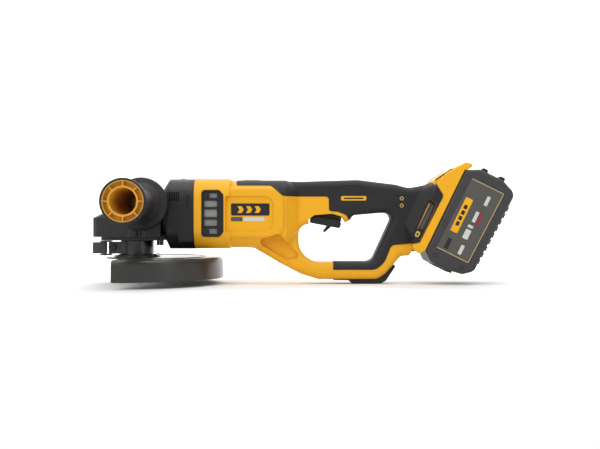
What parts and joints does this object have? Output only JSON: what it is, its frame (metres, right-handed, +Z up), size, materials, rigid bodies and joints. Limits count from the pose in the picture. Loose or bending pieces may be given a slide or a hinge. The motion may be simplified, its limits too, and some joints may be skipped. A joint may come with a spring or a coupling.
{
  "type": "angle grinder",
  "caption": "Cordless large angle grinder with D-handle grip, side handle, wheel guard, trigger and slide-on battery pack.",
  "frame": {"origin": "on the spindle's axis at the wheel seat, the lower face of the inner flange", "axes": "+Z up, away from the wheel; +X along the motor towards the battery; -Y towards the side handle, the tool's left side"},
  "size_m": [0.5933, 0.305, 0.172],
  "materials": {
    "cast_housing": "dark powder-coated die casting",
    "black_plastic": "fine spark-eroded texture",
    "yellow_plastic": "satin moulded nylon",
    "grip_rubber": "overmoulded soft grip",
    "guard_paint": "black satin paint on pressed steel",
    "bright_steel": "ground steel",
    "black_steel": "black oxide screws",
    "zinc_lever": "grey die casting",
    "lamination_steel": "stacked laminations",
    "copper": "enamelled winding wire",
    "label_black": "gloss label",
    "label_grey": "gloss label",
    "mesh_steel": "woven intake screen",
    "wire_red": "silicone insulation",
    "pack_plastic": "dark grey moulded nylon",
    "cell_wrap": "shrink sleeve",
    "resin": "potted board"
  },
  "bodies": {
    "housing": {"gear_case": "cast_housing", "bearing_retainer": "cast_housing", "retainer_screws": "black_steel", "spindle_bearing_lower": "bright_steel", "spindle_bearing_upper": "bright_steel", "rotor_bearing_front": "bright_steel", "rotor_bearing_rear": "bright_steel", "motor_stator": "lamination_steel", "stator_windings": "copper", "motor_adapter": "black_plastic", "adapter_screws": "black_steel", "housing_left": "yellow_plastic", "housing_right": "yellow_plastic", "grip_overmold_left": "grip_rubber", "grip_overmold_right": "grip_rubber", "housing_screws": "black_steel", "foot_pad": "grip_rubber", "top_label": "label_black", "name_plates": "label_black", "vent_covers": "black_plastic", "vent_screens": "mesh_steel", "vent_screws": "black_steel", "chip_covers": "black_plastic", "controller_module": "resin", "motor_leads": "wire_red", "battery_leads": "wire_red", "switch_module": "black_plastic", "terminal_block": "black_plastic", "trigger_pin": "bright_steel", "trigger_spring": "bright_steel", "spindle_lock_spring": "bright_steel"},
    "spindle": {"spindle": "bright_steel", "inner_flange": "bright_steel", "bevel_gear": "bright_steel"},
    "rotor": {"rotor_shaft": "bright_steel", "rotor_core": "lamination_steel", "fan": "black_plastic", "pinion": "bright_steel"},
    "guard": {"guard_shell": "guard_paint", "guard_band": "guard_paint", "clamp_bolt": "black_steel", "lever_pin": "black_steel"},
    "clamp_lever": {"clamp_lever": "zinc_lever"},
    "lock_button": {"spindle_lock_button": "black_plastic"},
    "trigger": {"trigger": "black_plastic", "lock_pin": "bright_steel"},
    "lock_off": {"lock_lever": "black_plastic"},
    "side_handle": {"handle_core": "yellow_plastic", "handle_grip": "grip_rubber", "handle_stud": "bright_steel"},
    "battery": {"battery_case": "pack_plastic", "battery_top": "pack_plastic", "battery_cells": "cell_wrap", "battery_bumpers": "grip_rubber", "battery_labels": "label_grey"},
    "latch": {"battery_latch": "yellow_plastic"}
  },
  "joints": [
    {"name": "spindle_spin", "type": "hinge", "parent": "housing", "child": "spindle", "pos_m": [0, 0, 0.03], "axis": [0, 0, 1], "continuous": true},
    {"name": "rotor_spin", "type": "hinge", "parent": "housing", "child": "rotor", "pos_m": [0.1, 0, 0.0745], "axis": [1, 0, 0], "continuous": true},
    {"name": "guard_turn", "type": "hinge", "parent": "housing", "child": "guard", "pos_m": [0, 0, 0.012], "axis": [0, 0, 1], "range_deg": [-90, 55]},
    {"name": "clamp_lever_swing", "type": "hinge", "parent": "guard", "child": "clamp_lever", "pos_m": [-0.042, -0.0245, 0.0255], "axis": [0, 0, 1], "range_deg": [0, 60]},
    {"name": "spindle_lock_press", "type": "slide", "parent": "housing", "child": "lock_button", "axis": [0, 0, -1], "range_m": [0, 0.0035], "stiffness_N_per_m": 400, "springref_m": -0.002},
    {"name": "trigger_squeeze", "type": "hinge", "parent": "housing", "child": "trigger", "pos_m": [0.256, 0, 0.077], "axis": [0, -1, 0], "range_deg": [0, 8], "stiffness_Nm_per_rad": 0.6, "springref_deg": -8.59},
    {"name": "lock_off_fold", "type": "hinge", "parent": "trigger", "child": "lock_off", "pos_m": [0.279, 0, 0.062], "axis": [0, 1, 0], "range_deg": [0, 28], "stiffness_Nm_per_rad": 0.03, "springref_deg": -17.19},
    {"name": "side_handle_unscrew", "type": "slide", "parent": "housing", "child": "side_handle", "axis": [0, -1, 0], "range_m": [0, 0.024]},
    {"name": "battery_slide", "type": "slide", "parent": "housing", "child": "battery", "axis": [-0.4388, 0, -0.8986], "range_m": [0, 0.115]},
    {"name": "latch_press", "type": "slide", "parent": "battery", "child": "latch", "axis": [0.8986, 0, -0.4388], "range_m": [0, 0.004], "stiffness_N_per_m": 500, "springref_m": -0.002}
  ],
  "couplings": [
    {"joint": "rotor_spin", "follows": "spindle_spin", "ratio": 3.2}
  ]
}
